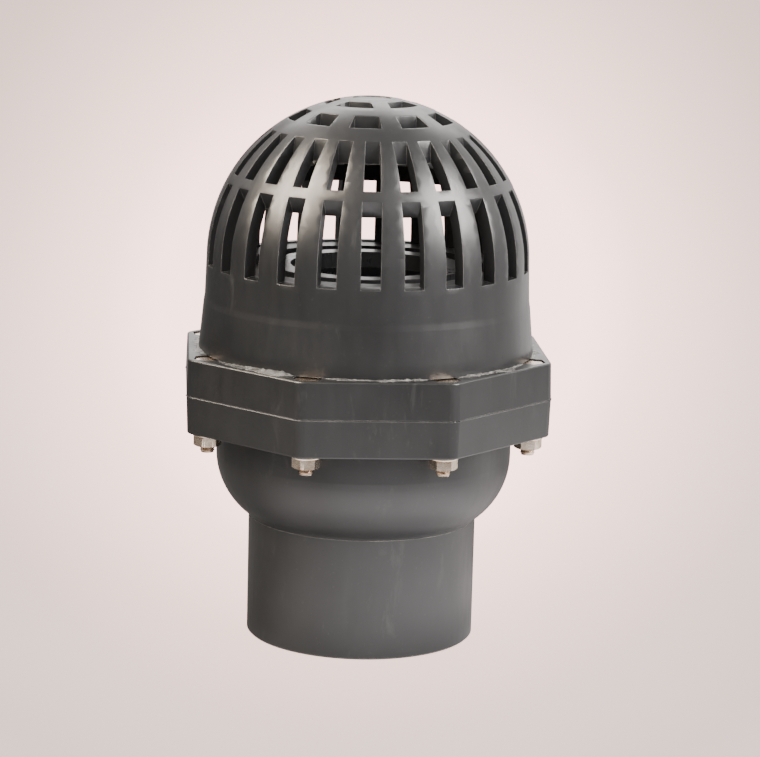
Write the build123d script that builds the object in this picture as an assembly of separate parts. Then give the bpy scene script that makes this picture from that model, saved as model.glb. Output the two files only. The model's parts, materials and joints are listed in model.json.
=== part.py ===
from build123d import *

import math
import os

os.makedirs("parts", exist_ok=True)

# Millimetres. Origin at the centre of the pipe socket's mouth, +Z through the valve to the strainer.

# Pipe socket, for a 110 mm pressure pipe
socket_bore_r = 55.15
socket_depth = 61.0
socket_r = 62.5
socket_top = 65.8
socket_lead_in = 1.5
socket_edge = 0.8

# Bulb that gives the water room to pass round the ball
bulb_r = 80.8
bulb_arc_r = 41.0
bulb_arc_z = 101.0
bulb_wall = 7.8
neck_r = 61.2
neck_cove_r = 8.0
throat_r = 51.5

# Octagonal flanges, moulded with draft on both sides of the parting plane
flange_bottom = 118.4
parting = 138.8
flange_top = 158.8
flange_across_flats = 195.4
flange_corner_r = 8.0
flange_draft_deg = 1.8
flange_edge_r = 1.0
flange_turn_deg = 4.4
parting_chamfer = 0.35

# M8 x 45 hex bolts at the octagon's corners
bolt_count = 8
bolt_circle_r = 93.3
bolt_hole_r = 4.5
bolt_r = 4.0
bolt_length = 45.0
thread_pitch = 1.25
thread_depth = 0.6
thread_turns_shown = 8
head_height = 5.3
hex_across_flats = 13.0
pocket_across_flats = 14.6
pocket_depth = 6.0
washer_r = 8.0
washer_bore_r = 4.2
washer_thickness = 1.6
washer_rim_chamfer = 0.35
nut_height = 5.4
nut_bore_r = 4.05
nut_countersink = 0.6
nut_turn_deg = 11.0
hex_chamfer_slope = 0.5

# Inlet barrel, bonded inside the strainer's skirt, and the seat plate at its top
barrel_r = 82.4
barrel_top = 197.7
spigot_r = 79.2
plate_bottom = 189.6
plate_top = 204.7
plate_groove_r = 64.5
plate_groove_floor = 199.5

# Seat ring in the plate, with its cone facing the ball
seat_bore_r = 42.1
seat_lip_r = 52.0
seat_shoulder_r = 53.4
seat_shoulder_top = 195.2
seat_contact_r = 44.0
seat_gap = 0.1
seat_o_ring_z = 192.4
seat_o_ring_section_r = 1.0
seat_groove_half_width = 1.2

# Ball, and its travel between the guide ribs' cradle and the seat
ball_r = 53.0
ball_cover_thickness = 4.0
ball_core_gap = 0.05
ball_open_z = 135.2
ball_travel = 28.0
ball_gap = 0.3

# Ribs that guide the ball and hold it off the outlet
guide_r = 53.9
guide_count = 4
guide_turn_deg = 45.0
guide_thickness = 8.0
guide_inner_r = 36.0
guide_throat_r = 50.5
guide_foot_z = 71.0
guide_toe_z = 90.0

# O-ring between the flanges
flange_ring_r = 84.2
flange_ring_section_r = 2.1
flange_groove_half_width = 2.4
flange_groove_depth = 4.3

# Strainer basket: a skirt and a dome with four rows of slots
skirt_foot_r = 91.2
skirt_shoulder_foot = (88.8, 183.8)
skirt_shoulder_head = (88.2, 187.4)
skirt_shoulder_round = 14.0
skirt_bore_r = 82.7
skirt_bore_top = 198.0
dome_r = 87.5
dome_wall = 8.0
dome_centre_z = 208.4
crown_r = 12.2
crown_recess_r = 10.4
crown_recess_depth = 0.5

# Tall slots, upper slots, windows and crown windows, from the skirt up
slot_turn_deg = 1.45
slot_count = 24
tall_sill_z = 205.0
tall_sill_fall = 0.0825
tall_top = (77.3, 249.4)
tall_top_slope = 0.52
tall_slot_width = 10.3
upper_bottom_deg = 31.7
upper_top_r = 53.3
upper_top_lean = 0.12
upper_width_at_top = 7.7
upper_width_at_bottom = 9.2
window_count = 10
window_turn_deg = -3.5
window_bottom_deg = 59.2
window_top_r = 34.8
window_angle_deg = 21.5
crown_window_count = 5
crown_strut_turn_deg = 13.5
crown_window_bottom_deg = 73.0
crown_window_top_r = 17.2
crown_strut_width = 8.9

# How far the cutting shapes reach past what they cut
cut_margin = 1.0
slot_reach = 12.0
above_dome = 310.0
outside_dome_r = 100.0

# Worked out from the sizes above
corner_deg = 180.0 / bolt_count
chamber_r = bulb_r - bulb_wall
dome_inner_r = dome_r - dome_wall
bulb_arc_centre = (bulb_r - bulb_arc_r, bulb_arc_z)
hex_corner_r = hex_across_flats / math.sqrt(3)
crown_z = dome_centre_z + math.sqrt(dome_r**2 - crown_r**2)
ball_closed_z = ball_open_z + ball_travel
pocket_floor = flange_top - pocket_depth
washer_bottom = flange_bottom - washer_thickness
nut_bottom = washer_bottom - nut_height


def upright_face(*edges):
    """Face from edges drawn as (radius, height), standing in the XZ plane."""
    return Plane.XZ * make_face(list(edges))


def spin(*points):
    """Solid of revolution about Z from the corners of its (radius, height) outline."""
    return revolve(upright_face(Polyline(*points, close=True)), Axis.Z)


def tube(outer_r, inner_r, low, high):
    """Plain ring between two heights."""
    return spin((inner_r, low), (outer_r, low), (outer_r, high), (inner_r, high))


def disc(radius, low, high):
    """Plain cylinder between two heights."""
    return Pos(0, 0, low) * Cylinder(radius, high - low, align=(Align.CENTER, Align.CENTER, Align.MIN))


def around(shape, count, turn_deg=0.0):
    """Copies of a shape, evenly spaced about Z."""
    return [Rot(0, 0, turn_deg + 360.0 * i / count) * shape for i in range(count)]


def hexagon(across_flats, low, high):
    """Upright hexagonal prism with a corner on local X."""
    outline = RegularPolygon(across_flats / 2, 6, major_radius=False)
    return Pos(0, 0, low) * extrude(outline, high - low)


def bolt_spot(i):
    """Place of a bolt at one corner of the octagon, with local X pointing outwards."""
    turn = flange_turn_deg + corner_deg + 360.0 * i / bolt_count
    return Rot(0, 0, turn) * Pos(bolt_circle_r, 0, 0)


def octagon_slab(thickness, upwards):
    """Flange that narrows by its draft away from the parting plane, with rounded edges."""
    flats = RegularPolygon(flange_across_flats / 2, bolt_count, major_radius=False)
    outline = fillet(flats.vertices(), flange_corner_r)
    slab = extrude(outline, thickness, taper=flange_draft_deg)
    slab = fillet(slab.faces().sort_by(Axis.Z)[-1].edges(), flange_edge_r)
    slab = chamfer(slab.faces().sort_by(Axis.Z)[0].edges(), parting_chamfer)
    if not upwards:
        slab = Rot(180, 0, 0) * slab
    return Pos(0, 0, parting) * Rot(0, 0, flange_turn_deg + corner_deg) * slab


def bolt_holes():
    """Clearance holes through both flanges."""
    hole = disc(bolt_hole_r, flange_bottom - cut_margin, flange_top + cut_margin)
    return [bolt_spot(i) * hole for i in range(bolt_count)]


def bolt_pockets():
    """Hexagonal pockets for the bolt heads, sunk in the inlet flange's top."""
    pocket = hexagon(pocket_across_flats, pocket_floor, flange_top + cut_margin)
    return [bolt_spot(i) * pocket for i in range(bolt_count)]


def ball_path():
    """Space that the ball sweeps, with its running clearance."""
    cradle = Pos(0, 0, ball_open_z) * Sphere(ball_r + ball_gap)
    return [cradle, disc(guide_r, ball_open_z, plate_top)]


def guide_ribs():
    """Plates that guide the ball and cradle it below, trimmed to the ball's path."""
    plate = upright_face(
        Polyline(
            (guide_inner_r, guide_toe_z),
            (guide_throat_r, guide_foot_z),
            (bulb_r, guide_foot_z),
            (bulb_r, plate_top),
            (guide_inner_r, plate_top),
            close=True,
        )
    )
    rib = extrude(plate, guide_thickness / 2, both=True) - ball_path()
    return around(rib, guide_count, guide_turn_deg)


def outlet_outside():
    """Socket, cove and bulb as one turned shape, up to the parting plane."""
    cove_reach = bulb_arc_r + neck_cove_r
    cove_r = neck_r + neck_cove_r
    centre_r, centre_z = bulb_arc_centre
    cove_z = centre_z - math.sqrt(cove_reach**2 - (cove_r - centre_r) ** 2)
    tangent_deg = math.degrees(math.asin((centre_z - cove_z) / cove_reach))
    lip_deg = math.degrees(math.asin((socket_top - cove_z) / neck_cove_r))
    cove = CenterArc((cove_r, cove_z), neck_cove_r, 180 - tangent_deg, tangent_deg - lip_deg)
    bulb = CenterArc(bulb_arc_centre, bulb_arc_r, -tangent_deg, tangent_deg)
    wall = Polyline(
        bulb @ 1,
        (bulb_r, parting),
        (0, parting),
        (0, 0),
        (socket_r - socket_edge, 0),
        (socket_r, socket_edge),
        (socket_r, socket_top),
        cove @ 1,
    )
    return revolve(upright_face(cove, bulb, wall), Axis.Z)


def outlet_chamber():
    """Water space of the outlet body above the pipe stop, less the guide ribs."""
    inner_arc_r = bulb_arc_r - bulb_wall
    throat_deg = math.degrees(math.acos((throat_r - bulb_arc_centre[0]) / inner_arc_r))
    curve = CenterArc(bulb_arc_centre, inner_arc_r, -throat_deg, throat_deg)
    wall = Polyline(
        curve @ 1,
        (chamber_r, parting),
        (0, parting),
        (0, socket_depth),
        (throat_r, socket_depth),
        curve @ 0,
    )
    return revolve(upright_face(curve, wall), Axis.Z) - guide_ribs()


def pipe_bore():
    """Socket bore with its lead-in."""
    return spin(
        (0, 0),
        (socket_bore_r + socket_lead_in, 0),
        (socket_bore_r, socket_lead_in),
        (socket_bore_r, socket_depth),
        (0, socket_depth),
    )


def outlet_body():
    """Outlet flange, bulb and pipe socket in one moulding, with the lower guide ribs."""
    groove = tube(
        flange_ring_r + flange_groove_half_width,
        flange_ring_r - flange_groove_half_width,
        parting - flange_groove_depth,
        parting,
    )
    body = octagon_slab(parting - flange_bottom, upwards=False) + outlet_outside()
    return body - outlet_chamber() - pipe_bore() - groove - bolt_holes()


def flange_o_ring():
    """O-ring between the two flanges."""
    middle = parting - flange_groove_depth / 2
    return Pos(0, 0, middle) * Torus(flange_ring_r, flange_ring_section_r)


def inlet_body():
    """Inlet flange, barrel and seat plate in one moulding, with the upper guide ribs."""
    barrel = spin(
        (0, parting),
        (barrel_r, parting),
        (barrel_r, barrel_top),
        (spigot_r, barrel_top),
        (spigot_r, plate_top),
        (0, plate_top),
    )
    chamber = disc(chamber_r, parting, plate_bottom) - guide_ribs()
    groove = disc(plate_groove_r, plate_groove_floor, plate_top)
    seat_hole = disc(seat_lip_r + seat_gap, plate_bottom, plate_top)
    seat_counterbore = disc(seat_shoulder_r + seat_gap, plate_bottom, seat_shoulder_top)
    body = octagon_slab(flange_top - parting, upwards=True) + barrel
    body = body - chamber - groove - seat_hole - seat_counterbore
    return body - bolt_holes() - bolt_pockets()


def seat_ring():
    """Screwed-in seat: a conical face towards the ball and a lip on the strainer side."""
    reach = ball_r + ball_gap
    contact_rise = math.sqrt(reach**2 - seat_contact_r**2)
    contact_z = ball_closed_z + contact_rise
    slope = seat_contact_r / contact_rise
    cone_bottom_r = seat_contact_r + (contact_z - plate_bottom) / slope
    cone_top_z = contact_z + (seat_contact_r - seat_bore_r) * slope
    ring = spin(
        (cone_bottom_r, plate_bottom),
        (seat_shoulder_r, plate_bottom),
        (seat_shoulder_r, seat_shoulder_top),
        (seat_lip_r, seat_shoulder_top),
        (seat_lip_r, plate_top),
        (seat_bore_r, plate_top),
        (seat_bore_r, cone_top_z),
    )
    groove = tube(
        seat_shoulder_r + cut_margin,
        seat_shoulder_r - 2 * seat_o_ring_section_r,
        seat_o_ring_z - seat_groove_half_width,
        seat_o_ring_z + seat_groove_half_width,
    )
    return ring - groove


def seat_o_ring():
    """O-ring round the seat ring's shoulder."""
    ring_r = seat_shoulder_r - seat_o_ring_section_r + seat_gap / 2
    return Pos(0, 0, seat_o_ring_z) * Torus(ring_r, seat_o_ring_section_r)


def ball_core():
    """Solid core, heavy enough to sink."""
    return Pos(0, 0, ball_open_z) * Sphere(ball_r - ball_cover_thickness - ball_core_gap)


def ball_cover():
    """Rubber cover moulded round the core."""
    return Pos(0, 0, ball_open_z) * (Sphere(ball_r) - Sphere(ball_r - ball_cover_thickness))


def basket_shell():
    """Skirt and dome before the slots are cut."""
    crown_deg = math.degrees(math.acos(crown_r / dome_r))
    dome = CenterArc((0, dome_centre_z), dome_r, 0, crown_deg)
    inner = CenterArc((0, dome_centre_z), dome_inner_r, 0, 90)
    foot = Polyline((skirt_bore_r, flange_top), (skirt_foot_r, flange_top))
    outside = FilletPolyline(
        foot @ 1,
        skirt_shoulder_foot,
        skirt_shoulder_head,
        dome @ 0,
        radius=skirt_shoulder_round,
    )
    inside = Polyline(
        inner @ 0,
        (dome_inner_r, skirt_bore_top),
        (skirt_bore_r, skirt_bore_top),
        (skirt_bore_r, flange_top),
    )
    top = Polyline(
        dome @ 1,
        (crown_recess_r, crown_z),
        (crown_recess_r, crown_z - crown_recess_depth),
        (0, crown_z - crown_recess_depth),
        inner @ 1,
    )
    return revolve(upright_face(dome, foot, outside, inside, inner, top), Axis.Z)


def radial_slot(inner_r, inner_width, outer_r, outer_width):
    """Upright prism reaching out along -Y, as wide as stated at two radii."""
    outline = Polyline(
        (-inner_width / 2, -inner_r),
        (inner_width / 2, -inner_r),
        (outer_width / 2, -outer_r),
        (-outer_width / 2, -outer_r),
        close=True,
    )
    return Pos(0, 0, dome_centre_z - dome_wall) * extrude(make_face(outline), above_dome - dome_centre_z)


def row_ring(bottom_deg, top_r, lean=0.0):
    """Ring cut through the dome: its floor square to the dome, its top end upright or leaning out."""
    slope = math.tan(math.radians(bottom_deg))
    low_z = dome_centre_z + top_r * slope
    surface_z = dome_centre_z + math.sqrt(dome_r**2 - top_r**2)
    low_r = top_r + lean * (surface_z - low_z)
    high_r = top_r - lean * (above_dome - surface_z)
    floor_out_r = outside_dome_r * math.cos(math.radians(bottom_deg))
    floor_out_z = dome_centre_z + floor_out_r * slope
    return spin(
        (low_r, low_z + (low_r - top_r) * slope),
        (floor_out_r, floor_out_z),
        (floor_out_r, above_dome),
        (high_r, above_dome),
    )


def tall_slots():
    """Long slots from the skirt up, with a sloping sill and a steep top end."""
    top_r, top_z = tall_top
    inner_r = top_r - slot_reach * tall_top_slope
    outer_r = top_r + slot_reach * tall_top_slope
    start_r = dome_inner_r - slot_reach
    ring = spin(
        (start_r, tall_sill_z + (dome_r - start_r) * tall_sill_fall),
        (outside_dome_r, tall_sill_z - (outside_dome_r - dome_r) * tall_sill_fall),
        (outside_dome_r, top_z + slot_reach),
        (outer_r, top_z + slot_reach),
        (inner_r, top_z - slot_reach),
        (start_r, top_z - slot_reach),
    )
    slot = radial_slot(start_r, tall_slot_width, outside_dome_r, tall_slot_width)
    return [ring & s for s in around(slot, slot_count, slot_turn_deg)]


def upper_slots():
    """Shorter slots above the tall ones, a little narrower towards the crown."""
    ring = row_ring(upper_bottom_deg, upper_top_r, upper_top_lean)
    bottom_r = dome_r * math.cos(math.radians(upper_bottom_deg))
    slot = radial_slot(upper_top_r, upper_width_at_top, bottom_r, upper_width_at_bottom)
    return [ring & s for s in around(slot, slot_count, slot_turn_deg)]


def windows():
    """Row of wide windows whose sides point at the dome's axis."""
    ring = row_ring(window_bottom_deg, window_top_r)
    flare = 2 * math.tan(math.radians(window_angle_deg / 2))
    inner_r = window_top_r - cut_margin
    wedge = radial_slot(inner_r, inner_r * flare, outside_dome_r, outside_dome_r * flare)
    return [ring & w for w in around(wedge, window_count, window_turn_deg)]


def crown_windows():
    """Windows round the crown, with parallel struts between them."""
    ring = row_ring(crown_window_bottom_deg, crown_window_top_r)
    strut = radial_slot(cut_margin, crown_strut_width, outside_dome_r, crown_strut_width)
    return ring - around(strut, crown_window_count, crown_strut_turn_deg)


def strainer_basket():
    """One-piece strainer with all its slots."""
    return basket_shell() - tall_slots() - upper_slots() - windows() - crown_windows()


def bolt():
    """Hex bolt, head up, with the thread's turns at its end as rings."""
    end_z = pocket_floor - bolt_length
    root_r = bolt_r - thread_depth
    outline = [(0, pocket_floor), (bolt_r, pocket_floor)]
    for turn in range(thread_turns_shown, 0, -1):
        crest_z = end_z + turn * thread_pitch
        outline += [(bolt_r, crest_z), (root_r, crest_z - thread_pitch / 2)]
    outline += [(root_r, end_z), (0, end_z)]
    flat_r = hex_across_flats / 2
    rim_r = hex_corner_r + cut_margin
    head_top = pocket_floor + head_height
    crown = spin(
        (0, pocket_floor),
        (rim_r, pocket_floor),
        (rim_r, head_top - (rim_r - flat_r) * hex_chamfer_slope),
        (flat_r, head_top),
        (0, head_top),
    )
    head = hexagon(hex_across_flats, pocket_floor, head_top) & crown
    return spin(*outline) + head


def washer():
    """Plain washer under the outlet flange, its rim eased above and below."""
    flat_r = washer_r - washer_rim_chamfer
    return spin(
        (washer_bore_r, washer_bottom),
        (flat_r, washer_bottom),
        (washer_r, washer_bottom + washer_rim_chamfer),
        (washer_r, flange_bottom - washer_rim_chamfer),
        (flat_r, flange_bottom),
        (washer_bore_r, flange_bottom),
    )


def nut():
    """Hex nut with its corners chamfered at both ends."""
    flat_r = hex_across_flats / 2
    rim_r = hex_corner_r + cut_margin
    slant = (rim_r - flat_r) * hex_chamfer_slope
    envelope = spin(
        (nut_bore_r + nut_countersink, nut_bottom),
        (flat_r, nut_bottom),
        (rim_r, nut_bottom + slant),
        (rim_r, washer_bottom - slant),
        (flat_r, washer_bottom),
        (nut_bore_r + nut_countersink, washer_bottom),
        (nut_bore_r, washer_bottom - nut_countersink),
        (nut_bore_r, nut_bottom + nut_countersink),
    )
    return hexagon(hex_across_flats, nut_bottom, washer_bottom) & envelope


def write(name, shape):
    """One named sub-part, as one STEP file."""
    export_step(shape, f"parts/{name}.step")


write("strainer_basket", strainer_basket())
write("inlet_body", inlet_body())
write("seat_ring", seat_ring())
write("seat_o_ring", seat_o_ring())
write("ball_core", ball_core())
write("ball_cover", ball_cover())
write("flange_o_ring", flange_o_ring())
write("outlet_body", outlet_body())
for i in range(bolt_count):
    write(f"bolt_{i + 1}", bolt_spot(i) * bolt())
    write(f"washer_{i + 1}", bolt_spot(i) * washer())
    write(f"nut_{i + 1}", bolt_spot(i) * Rot(0, 0, nut_turn_deg * i) * nut())
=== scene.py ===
import json
import math
import random

import bmesh
import bpy
from mathutils import Matrix, Vector


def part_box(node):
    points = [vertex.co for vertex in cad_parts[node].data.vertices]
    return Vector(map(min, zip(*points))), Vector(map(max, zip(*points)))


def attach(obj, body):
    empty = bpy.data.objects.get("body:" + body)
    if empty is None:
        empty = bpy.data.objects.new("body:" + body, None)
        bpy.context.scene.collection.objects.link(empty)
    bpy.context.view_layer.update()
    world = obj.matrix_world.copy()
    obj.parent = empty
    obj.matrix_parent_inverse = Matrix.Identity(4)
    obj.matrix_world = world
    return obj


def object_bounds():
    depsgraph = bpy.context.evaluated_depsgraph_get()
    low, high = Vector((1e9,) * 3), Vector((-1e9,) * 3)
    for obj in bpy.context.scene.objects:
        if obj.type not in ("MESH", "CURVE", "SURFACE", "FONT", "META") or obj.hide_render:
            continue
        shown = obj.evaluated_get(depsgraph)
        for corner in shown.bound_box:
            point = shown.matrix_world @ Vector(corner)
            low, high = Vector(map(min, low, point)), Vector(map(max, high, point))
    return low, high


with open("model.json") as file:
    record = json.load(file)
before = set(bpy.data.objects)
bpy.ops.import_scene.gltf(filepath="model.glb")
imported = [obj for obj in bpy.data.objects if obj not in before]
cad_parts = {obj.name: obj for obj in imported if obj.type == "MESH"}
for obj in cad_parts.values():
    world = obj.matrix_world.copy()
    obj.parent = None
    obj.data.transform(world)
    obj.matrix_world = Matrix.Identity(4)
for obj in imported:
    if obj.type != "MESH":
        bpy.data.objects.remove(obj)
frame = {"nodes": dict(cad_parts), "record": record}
cad_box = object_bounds()
nodes = frame["nodes"]

# Camera: where it stands and what it looks at, in metres and degrees
AIM = Vector((0.0082, 0.0, 0.1414))
CAMERA_DISTANCE = 1.538
CAMERA_ELEVATION = 11.58
CAMERA_ROLL = 1.47
LENS_MM = 133.1
SENSOR_MM = 36.0

# Floor: a pool of light, brightest behind the object, that fades with the angle seen from the front
POOL_STAND = 1.507
POOL_HEIGHT = 0.45
POOL_MIDDLE = 1.0
POOL_NEAREST = 0.6
POOL_GLOW = [
    (0.14, (4.8, 2.90, 2.62)),
    (0.28, (4.6, 2.76, 2.50)),
    (0.35, (3.32, 2.10, 1.80)),
    (0.42, (2.66, 1.756, 1.506)),
    (0.48, (2.15, 1.45, 1.265)),
    (0.57, (1.60, 1.115, 0.975)),
    (0.73, (1.15, 0.84, 0.745)),
]
POOL_SPREAD = 0.28
SWEEP_RADIUS = 14.0

# Pale table as the object mirrors it. CARD_TURN says how bright it is by direction, from 0 opposite
# the brightest one to 1 along it; CARD_OUTWARDS by the distance out, as a part of the card's radius
CARD_RADIUS = 0.62
CARD_STRENGTH = 3.1
CARD_BRIGHTEST = (0.53, -0.848, 0.0)
CARD_TURN = [
    (0.20, (0.02, 0.02, 0.02)),
    (0.28, (0.05, 0.046, 0.045)),
    (0.44, (0.24, 0.222, 0.218)),
    (0.56, (0.52, 0.475, 0.465)),
    (0.72, (0.66, 0.62, 0.61)),
    (0.86, (0.92, 0.88, 0.875)),
    (0.98, (1.0, 0.97, 0.965)),
]
CARD_OUTWARDS = [
    (0.11, 0.30),
    (0.16, 0.45),
    (0.21, 0.95),
    (0.30, 1.0),
    (0.39, 0.85),
    (0.50, 0.85),
    (0.62, 0.18),
    (0.95, 0.06),
]

# Plain bright patch of the table, mirrored by the lower flange
SIDE_CARD_MIDDLE = (0.50, 0.06)
SIDE_CARD_RADIUS = 0.17
SIDE_CARD_GLOW = 2.0
SIDE_CARD_COLOUR = (1.0, 0.97, 0.95, 1.0)

# Room mirrored in the surfaces: direction it lies in, where it begins and is full, and its strength
ROOM_COLOUR = (1.0, 0.955, 0.94, 1.0)
ROOM_DARK = 0.09
ROOM_SIDES = [
    ((1.0, 0.0, 0.0), 0.15, 0.75, 0.60),
    ((0.34, 0.94, 0.0), 0.66, 0.98, 1.05),
    ((0.0, 0.97, 0.24), 0.965, 0.995, 1.7),
    ((0.0, 0.0, 1.0), 0.35, 0.95, 0.40),
    ((-0.64, 0.55, 0.54), 0.80, 0.99, 0.80),
    ((0.64, 0.55, 0.54), 0.80, 0.99, 0.60),
]

# Soft lights: name, place, width, height, watts, colour, then whether they light the surfaces
# and whether they show as sheen. All face the middle of the object.
LIT_POINT = (0.0, 0.0, 0.16)
COOL = (0.98, 0.98, 1.0)
WARM = (1.0, 0.86, 0.70)
NEUTRAL = (1.0, 0.96, 0.93)
SOFTBOXES = [
    ("right_sheen", (1.15, -0.42, 1.05), 0.9, 0.9, 72.0, NEUTRAL, False, True),
    ("left_sheen", (-1.12, -0.33, 1.3), 1.0, 1.0, 125.0, WARM, False, True),
    ("left_fill", (-0.75, -1.2, 1.1), 1.2, 1.2, 32.0, NEUTRAL, True, False),
    ("right_fill", (1.0, -0.95, 0.75), 1.0, 1.0, 30.0, COOL, True, False),
    ("back", (0.0, 1.25, 1.2), 1.4, 0.6, 14.0, NEUTRAL, True, True),
]

FASTENERS = range(1, 9)

# Rounded edges: width in metres, and the least angle between faces that is rounded, in degrees
SLOT_ROUNDING = (0.0006, 32.0)
NUT_ROUNDING = (0.00025, 20.0)
WASHER_ROUNDING = (0.0002, 30.0)
WELD_REACH = 0.000002

# Cement line: it stops this far short of each bolt pocket, and is widest and highest where messiest
BEAD_STEPS = 120
BEAD_GAP = 5.6
BEAD_WIDTH = 0.0042
BEAD_HEIGHT = 0.0013
MESSY_TURN = math.radians(-121.0)
MESSY_SPAN = math.radians(16.0)

# Flash line: spacing of its cross-sections, how deep it starts inside the flange, how far it
# stands out, half its thickness, and how much it wanders up and down
FLASH_SPACING = 0.0011
FLASH_ROOT = 0.0007
FLASH_PROUD = 0.00070
FLASH_HALF = 0.00040
FLASH_THINNEST = 0.00018
FLASH_UNEVEN = 0.00012
FLASH_LIFT = 0.00008

UP = Vector((0.0, 0.0, 1.0))


# ---------------------------------------------------------------- node helpers

class Nodes:
    """A material's node tree, with short calls for the nodes used here."""

    def __init__(self, name):
        self.material = bpy.data.materials.new(name)
        self.material.use_nodes = True
        self.tree = self.material.node_tree
        self.shader = self.tree.nodes["Principled BSDF"]
        self.place = self.add("ShaderNodeTexCoord").outputs["Object"]

    def add(self, kind, **settings):
        node = self.tree.nodes.new(kind)
        for key, value in settings.items():
            setattr(node, key, value)
        return node

    def link(self, source, target):
        self.tree.links.new(source, target)

    def stretch(self, scale):
        """Object coordinates scaled along each axis."""
        mapping = self.add("ShaderNodeMapping")
        mapping.inputs["Scale"].default_value = scale
        self.link(self.place, mapping.inputs["Vector"])
        return mapping.outputs["Vector"]

    def noise(self, scale, detail=3.0, roughness=0.5, vector=None, distortion=0.0):
        node = self.add("ShaderNodeTexNoise")
        node.inputs["Scale"].default_value = scale
        node.inputs["Detail"].default_value = detail
        node.inputs["Roughness"].default_value = roughness
        node.inputs["Distortion"].default_value = distortion
        self.link(vector or self.place, node.inputs["Vector"])
        return node.outputs["Fac"]

    def ramp(self, value, stops):
        """Colour ramp with (position, colour or grey) stops."""
        node = self.add("ShaderNodeValToRGB")
        elements = node.color_ramp.elements
        while len(elements) < len(stops):
            elements.new(0.5)
        for element, (position, colour) in zip(elements, stops):
            element.position = position
            if not hasattr(colour, "__len__"):
                colour = (colour, colour, colour)
            element.color = (*colour, 1.0)
        self.link(value, node.inputs["Fac"])
        return node.outputs["Color"]

    def math(self, operation, a, b=None, clamp=False):
        node = self.add("ShaderNodeMath", operation=operation, use_clamp=clamp)
        for socket, value in zip(node.inputs, (a, b)):
            if value is None:
                continue
            if hasattr(value, "is_linked"):
                self.link(value, socket)
            else:
                socket.default_value = value
        return node.outputs["Value"]

    def mix(self, factor, a, b, blend="MIX"):
        """Colour mix of two colours or sockets."""
        node = self.add("ShaderNodeMix", data_type="RGBA", blend_type=blend)
        for socket, value in ((node.inputs[0], factor), (node.inputs[6], a), (node.inputs[7], b)):
            if hasattr(value, "is_linked"):
                self.link(value, socket)
            elif hasattr(value, "__len__"):
                socket.default_value = (*value, 1.0)
            else:
                socket.default_value = value
        return node.outputs[2]

    def bump(self, height, strength, distance, normal=None):
        node = self.add("ShaderNodeBump")
        node.inputs["Strength"].default_value = strength
        node.inputs["Distance"].default_value = distance
        self.link(height, node.inputs["Height"])
        if normal:
            self.link(normal, node.inputs["Normal"])
        return node.outputs["Normal"]

    def edges(self, reach):
        """1 along sharp edges, 0 on faces."""
        rounded = self.add("ShaderNodeBevel", samples=4)
        rounded.inputs["Radius"].default_value = reach
        facing = self.add("ShaderNodeVectorMath", operation="DOT_PRODUCT")
        self.link(rounded.outputs["Normal"], facing.inputs[0])
        self.link(self.add("ShaderNodeNewGeometry").outputs["Normal"], facing.inputs[1])
        return self.ramp(facing.outputs["Value"], [(0.80, 1.0), (0.97, 0.0)])

    def finish(self, colour, roughness, normal, **constants):
        self.link(colour, self.shader.inputs["Base Color"])
        self.link(roughness, self.shader.inputs["Roughness"])
        self.link(normal, self.shader.inputs["Normal"])
        for name, value in constants.items():
            self.shader.inputs[name.replace("_", " ")].default_value = value
        return self.material


# ---------------------------------------------------------------- materials

def moulded_pvc(name, dark, light, gloss):
    """Dark grey moulded PVC: cloudy, streaky, finely grained, with scuffs, dust, and pale edges that
    are partly rubbed wear and partly a painted highlight.
    """
    n = Nodes(name)
    clouds = n.noise(14.0, 4.0, 0.55)
    colour = n.ramp(clouds, [(0.35, dark), (0.68, light)])
    scuffs = n.noise(95.0, 5.0, 0.7, n.stretch((1.0, 1.0, 0.28)), 0.6)
    scuff_mask = n.ramp(scuffs, [(0.60, 0.0), (0.74, 1.0)])
    colour = n.mix(n.math("MULTIPLY", scuff_mask, 0.12), colour, (0.16, 0.155, 0.145))
    dust = n.ramp(n.noise(520.0, 3.0, 0.7), [(0.62, 0.0), (0.80, 0.11)])
    colour = n.mix(dust, colour, (0.20, 0.19, 0.175))
    # Pale edges: partly rubbed wear, partly a painted highlight along every sharp edge
    wear_and_edge_highlight = n.ramp(n.noise(70.0, 4.0, 0.6), [(0.35, 0.3), (0.65, 1.0)])
    colour = n.mix(n.math("MULTIPLY", n.edges(0.0006), wear_and_edge_highlight), colour, (0.33, 0.31, 0.285))
    grain = n.noise(2600.0, 2.0, 0.5)
    flow = n.noise(38.0, 3.0, 0.5)
    streaks = n.noise(230.0, 3.0, 0.6, n.stretch((1.0, 1.0, 0.12)))
    roughness = n.math("ADD", n.math("MULTIPLY", flow, 0.16), gloss - 0.16)
    roughness = n.math("ADD", roughness, n.math("MULTIPLY", streaks, 0.16))
    roughness = n.math("ADD", roughness, n.math("MULTIPLY", scuff_mask, 0.10))
    normal = n.bump(grain, 0.10, 0.00012)
    normal = n.bump(streaks, 0.10, 0.0002, normal)
    normal = n.bump(flow, 0.24, 0.0006, normal)
    return n.finish(colour, roughness, normal, IOR=1.52)


def rubber(name, dark, light, roughness_base):
    """Black EPDM: matt, with a fine ground surface."""
    n = Nodes(name)
    colour = n.ramp(n.noise(60.0, 4.0, 0.6), [(0.35, dark), (0.7, light)])
    grain = n.noise(1500.0, 3.0, 0.6)
    roughness = n.math("ADD", n.math("MULTIPLY", grain, 0.14), roughness_base)
    return n.finish(colour, roughness, n.bump(grain, 0.35, 0.0002), IOR=1.5)


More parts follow.
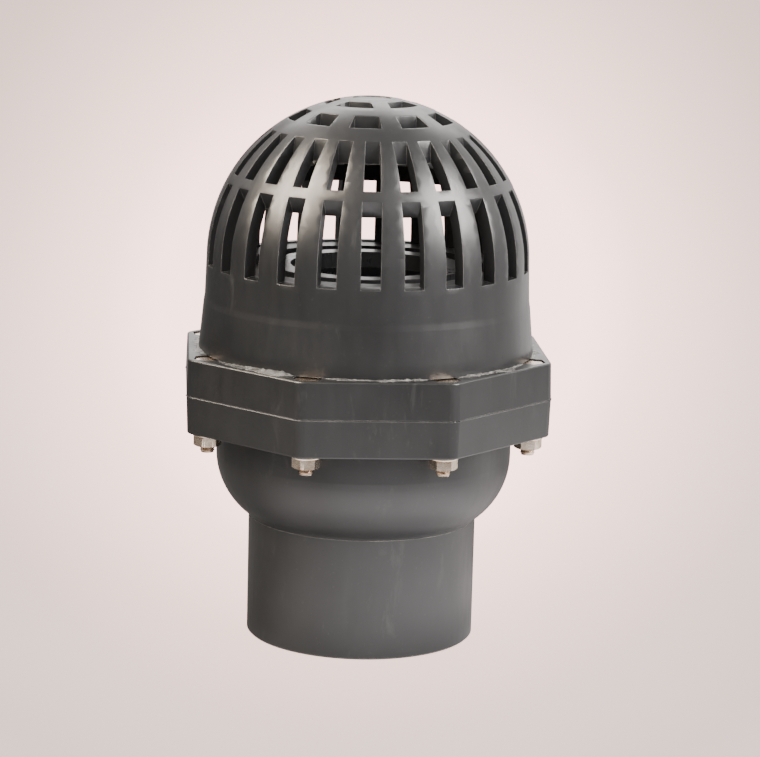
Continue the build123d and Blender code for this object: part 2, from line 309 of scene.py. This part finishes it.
def stainless(name):
    """Stainless fasteners: drawn grain, slight tarnish in patches."""
    n = Nodes(name)
    patches = n.noise(160.0, 4.0, 0.55)
    colour = n.ramp(patches, [(0.32, (0.60, 0.46, 0.35)), (0.66, (0.97, 0.83, 0.70))])
    drawn = n.noise(1100.0, 3.0, 0.5, n.stretch((0.25, 0.25, 1.0)))
    roughness = n.math("ADD", n.math("MULTIPLY", drawn, 0.12), 0.20)
    return n.finish(colour, roughness, n.bump(drawn, 0.10, 0.00006), Metallic=1.0)


def dried_cement(name, dark, light, roughness_base=0.30, specular=0.5):
    """Dried solvent cement or flash: pale, lumpy, darker where its lumps are low."""
    n = Nodes(name)
    lumps = n.noise(330.0, 5.0, 0.65)
    # Colour follows the lumps' height, the same heights that the bump uses
    colour = n.ramp(lumps, [(0.38, dark), (0.62, light)])
    roughness = n.math("ADD", n.math("MULTIPLY", lumps, 0.25), roughness_base)
    normal = n.bump(lumps, 0.6, 0.0004)
    return n.finish(colour, roughness, normal, IOR=1.5, Specular_IOR_Level=specular)


def paint_cad_nodes():
    """Gives every CAD node its material."""
    slots = {s["node"]: s["material_slot"] for s in frame["record"]["subparts"]}
    finishes = {
        "strainer_plastic": moulded_pvc("strainer_plastic", 0.019, 0.028, 0.33),
        "body_plastic": moulded_pvc("body_plastic", 0.015, 0.023, 0.36),
        "seat_plastic": moulded_pvc("seat_plastic", 0.030, 0.042, 0.30),
        "core_plastic": moulded_pvc("core_plastic", 0.040, 0.055, 0.35),
        "ball_rubber": rubber("ball_rubber", 0.010, 0.016, 0.42),
        "seal_rubber": rubber("seal_rubber", 0.008, 0.013, 0.34),
        "stainless_steel": stainless("stainless_steel"),
    }
    for name, obj in nodes.items():
        obj.data.materials.clear()
        obj.data.materials.append(finishes[slots[name]])


# ---------------------------------------------------------------- added pieces

def smooth_rows(name, rows, closed, material):
    """Skin over rows of points: each row is one cross-section."""
    mesh = bpy.data.meshes.new(name)
    shape = bmesh.new()
    made = [[shape.verts.new(point) for point in row] for row in rows]
    count = len(made)
    for i in range(count if closed else count - 1):
        here, there = made[i], made[(i + 1) % count]
        for j in range(len(here)):
            k = (j + 1) % len(here)
            shape.faces.new((here[j], here[k], there[k], there[j]))
    if not closed:
        shape.faces.new(made[0])
        shape.faces.new(reversed(made[-1]))
    bmesh.ops.recalc_face_normals(shape, faces=shape.faces)
    for face in shape.faces:
        face.smooth = True
    shape.to_mesh(mesh)
    shape.free()
    mesh.materials.append(material)
    piece = bpy.data.objects.new(name, mesh)
    bpy.context.scene.collection.objects.link(piece)
    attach(piece, "valve")


def wander(seed, waves):
    """Repeatable uneven curve over a turn, between about -1 and 1."""
    chance = random.Random(seed)
    parts = []
    for _ in range(14):
        count = chance.randint(2, waves)
        start = chance.uniform(0.0, math.tau)
        parts.append((count, start, chance.uniform(0.4, 1.0)))
    total = sum(size for _, _, size in parts) ** 0.5

    def height(turn):
        return sum(size * math.sin(count * turn + start) for count, start, size in parts) / total

    return height


def flange_outline():
    """Corners of the flange at the parting plane, in order round the axis."""
    body = nodes["outlet_body"]
    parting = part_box("outlet_body")[1][2]
    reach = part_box("outlet_body")[1][0]
    points = {}
    for vertex in body.data.vertices:
        place = body.matrix_world @ vertex.co
        on_plane = abs(place.z - parting) < 0.0001
        if on_plane and math.hypot(place.x, place.y) > 0.9 * reach:
            points[round(math.atan2(place.y, place.x), 4)] = place
    return [points[turn] for turn in sorted(points)]


def add_parting_flash():
    """Thin uneven line of flash where the two flanges meet."""
    corners = flange_outline()
    stretch = wander(3, 160)
    lift = wander(5, 60)
    path = []
    for here, there in zip(corners, corners[1:] + corners[:1]):
        steps = max(1, int((there - here).length / FLASH_SPACING))
        path += [here.lerp(there, step / steps) for step in range(steps)]
    rows = []
    for place in path:
        turn = math.atan2(place.y, place.x)
        out = Vector((place.x, place.y, 0.0)).normalized()
        proud = FLASH_PROUD + FLASH_UNEVEN * stretch(turn)
        half = max(FLASH_THINNEST, FLASH_HALF + FLASH_UNEVEN * stretch(turn + 1.0))
        middle = Vector((place.x, place.y, place.z + FLASH_LIFT * lift(turn)))
        rows.append(
            [
                middle - FLASH_ROOT * out + half * UP,
                middle + proud * out + 0.8 * half * UP,
                middle + proud * out - 0.8 * half * UP,
                middle - FLASH_ROOT * out - half * UP,
            ]
        )
    material = dried_cement("flash_line", (0.03, 0.029, 0.028), (0.10, 0.096, 0.09), 0.80, 0.15)
    smooth_rows("parting_flash", rows, True, material)


def add_cement_bead():
    """Uneven line of solvent cement squeezed out round the skirt's foot, broken at the bolt pockets."""
    material = dried_cement("dried_cement", (0.045, 0.043, 0.04), (0.30, 0.285, 0.255))
    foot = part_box("strainer_basket")
    foot_r = foot[1][0]
    floor_z = foot[0][2]
    bulge = wander(11, 40)
    fine = wander(17, 190)
    for number in FASTENERS:
        low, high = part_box(f"washer_{number}")
        start = math.atan2((low[1] + high[1]) / 2, (low[0] + high[0]) / 2) + math.radians(BEAD_GAP)
        span = math.tau / len(FASTENERS) - math.radians(2 * BEAD_GAP)
        rows = []
        for step in range(BEAD_STEPS + 1):
            turn = start + span * step / BEAD_STEPS
            ends = min(1.0, 8.0 * min(step, BEAD_STEPS - step) / BEAD_STEPS + 0.15)
            away = abs(math.remainder(turn - MESSY_TURN, math.tau))
            messy = max(0.0, 1.0 - away / MESSY_SPAN)
            size = 0.45 + 0.9 * messy + 0.25 * bulge(turn) + 0.16 * fine(turn)
            spill = 0.35 + 1.0 * messy + 0.35 * bulge(turn + 2.0) + 0.20 * fine(turn + 1.0)
            tall = BEAD_HEIGHT * ends * max(0.15, size)
            wide = BEAD_WIDTH * ends * max(0.1, spill)
            out = Vector((math.cos(turn), math.sin(turn), 0.0))
            base = foot_r * out + floor_z * UP
            rows.append(
                [
                    base - 0.0006 * out,
                    base - 0.0006 * out + tall * UP,
                    base + 0.0003 * out + 0.9 * tall * UP,
                    base + (0.0004 + 0.4 * wide) * out + 0.30 * tall * UP,
                    base + (0.0005 + 0.9 * wide) * out + 0.18 * tall * UP,
                    base + (0.0006 + wide) * out,
                ]
            )
        smooth_rows(f"cement_bead_{number}", rows, False, material)


def round_edges(name, rounding):
    """Slightly rounded edges on one CAD node, past an angle between faces."""
    width, least_angle = rounding
    obj = nodes[name]
    weld = obj.modifiers.new("weld", "WELD")
    weld.merge_threshold = WELD_REACH
    bevel = obj.modifiers.new("rounding", "BEVEL")
    bevel.width = width
    bevel.segments = 2
    bevel.limit_method = "ANGLE"
    bevel.angle_limit = math.radians(least_angle)


# ---------------------------------------------------------------- stage

def pool_stops():
    """The pool's colours as parts of its brightest one, which the emission strength brings back."""
    brightest = POOL_GLOW[0][1][0]
    return [(place, tuple(value / brightest for value in colour)) for place, colour in POOL_GLOW]


def finish_paper(n, dark, light, relief):
    """Closes a stage material with the fine fibres of paper."""
    fibres = n.noise(420.0, 3.0, 0.6)
    colour = n.ramp(fibres, [(0.3, dark), (0.7, light)])
    roughness = n.math("ADD", n.math("MULTIPLY", fibres, 0.1), 0.8)
    return n.finish(colour, roughness, n.bump(fibres, relief, 0.0002))


def floor_material():
    """Pale paper sweep with its own pool of light, a little darker towards the edges of the view."""
    n = Nodes("pale_paper")
    split = n.add("ShaderNodeSeparateXYZ")
    n.link(n.place, split.inputs[0])
    depth = n.math("MAXIMUM", n.math("ADD", split.outputs["Y"], POOL_STAND), POOL_NEAREST)
    across = n.math("DIVIDE", split.outputs["X"], depth)
    fall = n.math("DIVIDE", POOL_HEIGHT, depth)
    along = n.math("SUBTRACT", fall, POOL_HEIGHT / (POOL_STAND + POOL_MIDDLE))
    away = n.math("SQRT", n.math("ADD", n.math("POWER", across, 2.0), n.math("POWER", along, 2.0)))
    away = n.math("DIVIDE", away, POOL_SPREAD, clamp=True)
    n.link(n.ramp(away, pool_stops()), n.shader.inputs["Emission Color"])
    n.shader.inputs["Emission Strength"].default_value = POOL_GLOW[0][1][0]
    return finish_paper(n, (0.16, 0.145, 0.14), (0.18, 0.165, 0.16), 0.08)


def stage_disc(name, middle, radius, height, material):
    """Flat round stage piece."""
    mesh = bpy.data.meshes.new(name)
    shape = bmesh.new()
    bmesh.ops.create_circle(shape, cap_ends=True, segments=128, radius=radius)
    shape.to_mesh(mesh)
    shape.free()
    mesh.materials.append(material)
    piece = bpy.data.objects.new(name, mesh)
    piece.location = (*middle, cad_box[0][2] + height)
    bpy.context.scene.collection.objects.link(piece)
    return piece


def side_card_material():
    """Plain patch of the pale table to the right, mirrored by the lower flange."""
    n = Nodes("side_card")
    n.shader.inputs["Emission Color"].default_value = SIDE_CARD_COLOUR
    n.shader.inputs["Emission Strength"].default_value = SIDE_CARD_GLOW
    return finish_paper(n, 0.05, 0.07, 0.05)


def card_material():
    """Glowing card, brightest in front and to the right, and away from the object's foot."""
    n = Nodes("white_card")
    outwards = n.add("ShaderNodeVectorMath", operation="LENGTH")
    n.link(n.place, outwards.inputs[0])
    outwards = n.math("DIVIDE", outwards.outputs["Value"], CARD_RADIUS)
    way = n.add("ShaderNodeVectorMath", operation="NORMALIZE")
    n.link(n.place, way.inputs[0])
    turn = n.add("ShaderNodeVectorMath", operation="DOT_PRODUCT")
    n.link(way.outputs["Vector"], turn.inputs[0])
    turn.inputs[1].default_value = CARD_BRIGHTEST
    turn = n.math("MULTIPLY", n.math("ADD", turn.outputs["Value"], 1.0), 0.5)
    glow = n.mix(1.0, n.ramp(turn, CARD_TURN), n.ramp(outwards, CARD_OUTWARDS), "MULTIPLY")
    n.link(glow, n.shader.inputs["Emission Color"])
    n.shader.inputs["Emission Strength"].default_value = CARD_STRENGTH
    return finish_paper(n, 0.05, 0.07, 0.05)


def add_floor():
    """Pale floor just under the socket's mouth, and two hidden cards that stand for its glow."""
    sweep = stage_disc("sweep", (0.0, 0.0), SWEEP_RADIUS, -0.0001, floor_material())
    sweep.visible_diffuse = False
    sweep.visible_glossy = False
    sweep.visible_shadow = False
    card = stage_disc("card", (0.0, 0.0), CARD_RADIUS, -0.0005, card_material())
    patch = side_card_material()
    side_card = stage_disc("side_card", SIDE_CARD_MIDDLE, SIDE_CARD_RADIUS, -0.0003, patch)
    for glow in (card, side_card):
        glow.visible_camera = False
        glow.visible_shadow = False


def add_softbox(name, place, width, height, power, colour, diffuse, glossy):
    """Rectangular soft light that faces the middle of the object."""
    data = bpy.data.lights.new(name, "AREA")
    data.shape = "RECTANGLE"
    data.size = width
    data.size_y = height
    data.energy = power
    data.color = colour
    light = bpy.data.objects.new(name, data)
    light.visible_diffuse = diffuse
    light.visible_glossy = glossy
    light.location = place
    facing = Vector(LIT_POINT) - Vector(place)
    light.rotation_euler = facing.to_track_quat("-Z", "Y").to_euler()
    bpy.context.scene.collection.objects.link(light)


def add_world():
    """Room whose brightness depends on the direction looked in."""
    world = bpy.data.worlds.new("studio")
    world.use_nodes = True
    tree = world.node_tree
    background = tree.nodes["Background"]
    way = tree.nodes.new("ShaderNodeTexCoord").outputs["Generated"]
    total = None
    for direction, low, high, gain in ROOM_SIDES:
        towards = tree.nodes.new("ShaderNodeVectorMath")
        towards.operation = "DOT_PRODUCT"
        tree.links.new(way, towards.inputs[0])
        towards.inputs[1].default_value = direction
        step = tree.nodes.new("ShaderNodeMapRange")
        step.interpolation_type = "SMOOTHSTEP"
        step.inputs["From Min"].default_value = low
        step.inputs["From Max"].default_value = high
        step.inputs["To Max"].default_value = gain
        tree.links.new(towards.outputs["Value"], step.inputs["Value"])
        add = tree.nodes.new("ShaderNodeMath")
        add.operation = "ADD"
        tree.links.new(step.outputs["Result"], add.inputs[0])
        if total is None:
            add.inputs[1].default_value = ROOM_DARK
        else:
            tree.links.new(total, add.inputs[1])
        total = add.outputs["Value"]
    background.inputs["Color"].default_value = ROOM_COLOUR
    tree.links.new(total, background.inputs["Strength"])
    bpy.context.scene.world = world


def add_camera():
    """Long-lens camera, looking a little down, tilted by its roll about its own axis."""
    elevation = math.radians(CAMERA_ELEVATION)
    back = Vector((0.0, -math.cos(elevation), math.sin(elevation)))
    data = bpy.data.cameras.new("camera")
    data.sensor_width = SENSOR_MM
    data.lens = LENS_MM
    camera = bpy.data.objects.new("camera", data)
    camera.location = AIM + CAMERA_DISTANCE * back
    facing = (-back).to_track_quat("-Z", "Y").to_matrix().to_4x4()
    roll = Matrix.Rotation(math.radians(CAMERA_ROLL), 4, "Z")
    camera.rotation_euler = (facing @ roll).to_euler()
    bpy.context.scene.collection.objects.link(camera)
    bpy.context.scene.camera = camera


paint_cad_nodes()
round_edges("strainer_basket", SLOT_ROUNDING)
for number in FASTENERS:
    round_edges(f"nut_{number}", NUT_ROUNDING)
    round_edges(f"washer_{number}", WASHER_ROUNDING)
add_cement_bead()
add_parting_flash()
add_floor()
add_world()
for softbox in SOFTBOXES:
    add_softbox(*softbox)
add_camera()
